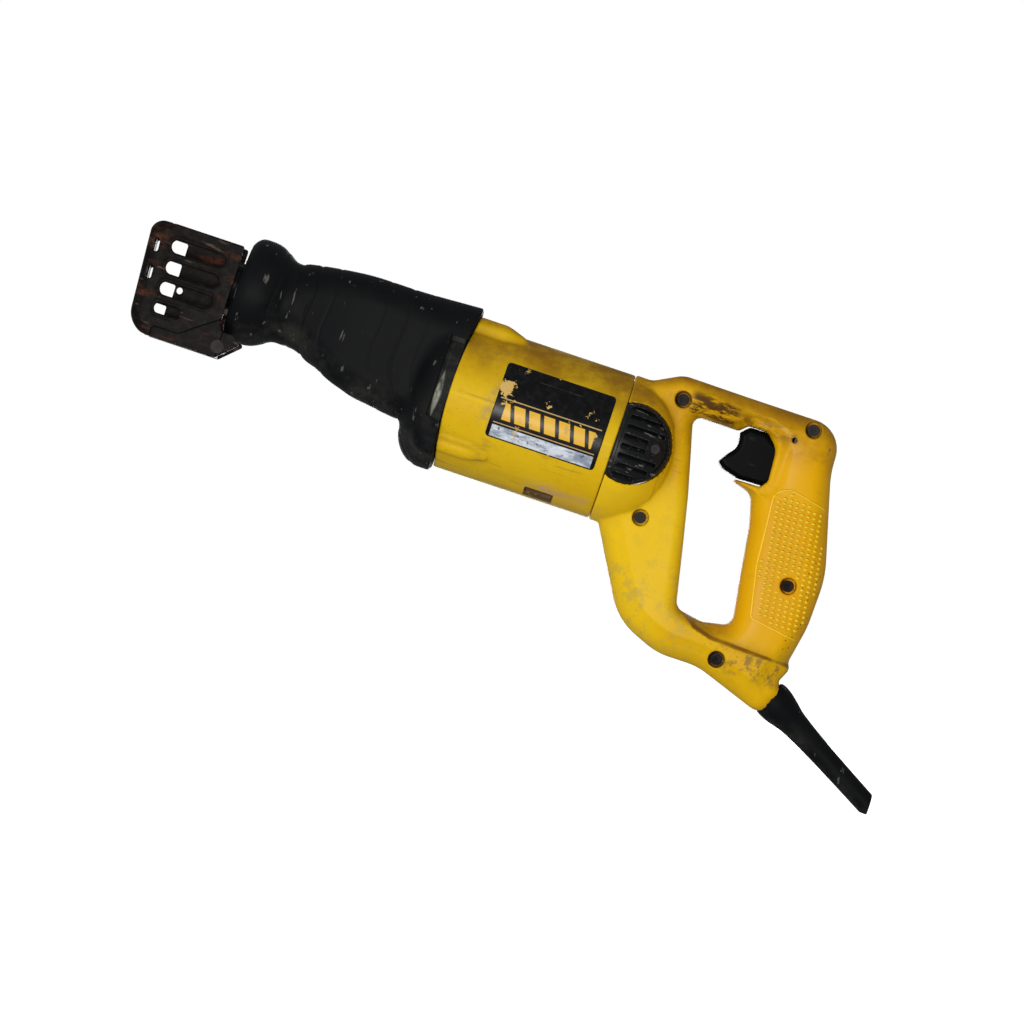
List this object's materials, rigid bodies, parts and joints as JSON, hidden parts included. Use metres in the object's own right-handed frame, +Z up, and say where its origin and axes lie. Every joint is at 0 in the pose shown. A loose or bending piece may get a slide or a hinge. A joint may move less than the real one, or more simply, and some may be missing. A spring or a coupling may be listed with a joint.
{
  "type": "corded reciprocating saw",
  "caption": "Corded D-handle reciprocating saw with a pivoting shoe, sliding spindle and blade clamp, rubber boot, hinged trigger and open grip.",
  "frame": {"origin": "on the spindle axis, at the mouth of the blade clamp with the spindle at mid stroke", "axes": "+X runs back along the tool from the blade end to the handle, +Y to the operator's right, +Z up with the tool level; the pictured side faces -Y"},
  "size_m": [0.5204, 0.0948, 0.2152],
  "materials": {
    "yellow_plastic": "worn satin moulding with scuffs and dirt",
    "black_rubber": "matt rubber with grey scuffs",
    "black_plastic": "satin with scratches",
    "gloss_black": "smooth, slightly worn",
    "label_skin": "plain scratched plate with a light stripe",
    "cast_alloy": "cast and machined",
    "bright_steel": "ground",
    "dark_steel": "blackened and rusty",
    "bronze": "sintered bearing bronze",
    "copper": "enamelled copper",
    "lamination": "stacked sheet steel",
    "carbon": "pressed carbon"
  },
  "bodies": {
    "housing": {"handle_left": "yellow_plastic", "handle_right": "yellow_plastic", "motor_housing": "yellow_plastic", "vent_cover_left": "black_plastic", "vent_cover_right": "black_plastic", "vent_screws": "dark_steel", "label_left": "label_skin", "label_right": "label_skin", "gear_case": "cast_alloy", "gear_case_cover": "cast_alloy", "gear_case_screws": "bright_steel", "boot": "black_rubber", "boot_bell": "black_rubber", "shoe_pivot_pin": "bright_steel", "shoe_post": "bright_steel", "shoe_post_screw": "bright_steel", "spindle_bush_front": "bronze", "spindle_bush_rear": "bronze", "spindle_seal": "black_rubber", "wobble_bush_front": "bronze", "wobble_bush_rear": "bronze", "front_bearing": "bright_steel", "rear_bearing": "bright_steel", "field_core": "lamination", "field_coils": "copper", "brush_plate": "black_plastic", "brush_holders": "bronze", "carbon_brushes": "carbon", "brush_springs": "bright_steel", "switch_body": "black_plastic", "trigger_pin": "bright_steel", "trigger_spring": "bright_steel", "cord_protector": "black_rubber", "cord_clamp": "black_plastic", "cord_clamp_screws": "bright_steel", "handle_screws": "bright_steel"},
    "spindle_unit": {"spindle": "bright_steel", "blade_clamp": "bright_steel", "clamp_screw": "dark_steel"},
    "collar": {"clamp_collar": "black_plastic"},
    "wobble_arm": {"wobble_arm": "bright_steel"},
    "wobble_shaft": {"wobble_shaft": "bright_steel", "drive_gear": "dark_steel"},
    "armature": {"armature_shaft": "bright_steel", "armature_core": "lamination", "armature_windings": "copper", "commutator": "copper", "motor_fan": "black_plastic"},
    "trigger": {"trigger": "gloss_black"},
    "shoe": {"shoe": "dark_steel"}
  },
  "joints": [
    {"name": "armature_spin", "type": "hinge", "parent": "housing", "child": "armature", "pos_m": [0.2, 0, -0.02], "axis": [1, 0, 0], "continuous": true},
    {"name": "wobble_shaft_spin", "type": "hinge", "parent": "housing", "child": "wobble_shaft", "pos_m": [0.14, 0, -0.035], "axis": [1, 0, 0], "continuous": true},
    {"name": "spindle_slide", "type": "slide", "parent": "housing", "child": "spindle_unit", "axis": [1, 0, 0], "range_m": [-0.014, 0.014]},
    {"name": "wobble_rock", "type": "hinge", "parent": "housing", "child": "wobble_arm", "pos_m": [0.14, 0, -0.035], "axis": [0, 1, 0], "range_deg": [-22.95, 22.95]},
    {"name": "collar_turn", "type": "hinge", "parent": "spindle_unit", "child": "collar", "pos_m": [0.01, 0, 0], "axis": [1, 0, 0], "range_deg": [0, 60], "stiffness_Nm_per_rad": 0.05, "springref_deg": -34.38},
    {"name": "trigger_pull", "type": "hinge", "parent": "housing", "child": "trigger", "pos_m": [0.334, 0, 0.008], "axis": [0, -1, 0], "range_deg": [0, 10], "stiffness_Nm_per_rad": 0.2, "springref_deg": -22.92},
    {"name": "shoe_tilt", "type": "hinge", "parent": "housing", "child": "shoe", "pos_m": [0.01, 0, -0.0385], "axis": [0, -1, 0], "range_deg": [0, 15]}
  ],
  "couplings": [
    {"joint": "wobble_shaft_spin", "follows": "armature_spin", "ratio": -0.25},
    {"joint": "wobble_rock", "follows": "spindle_slide", "rad_per_m": 28.571}
  ]
}
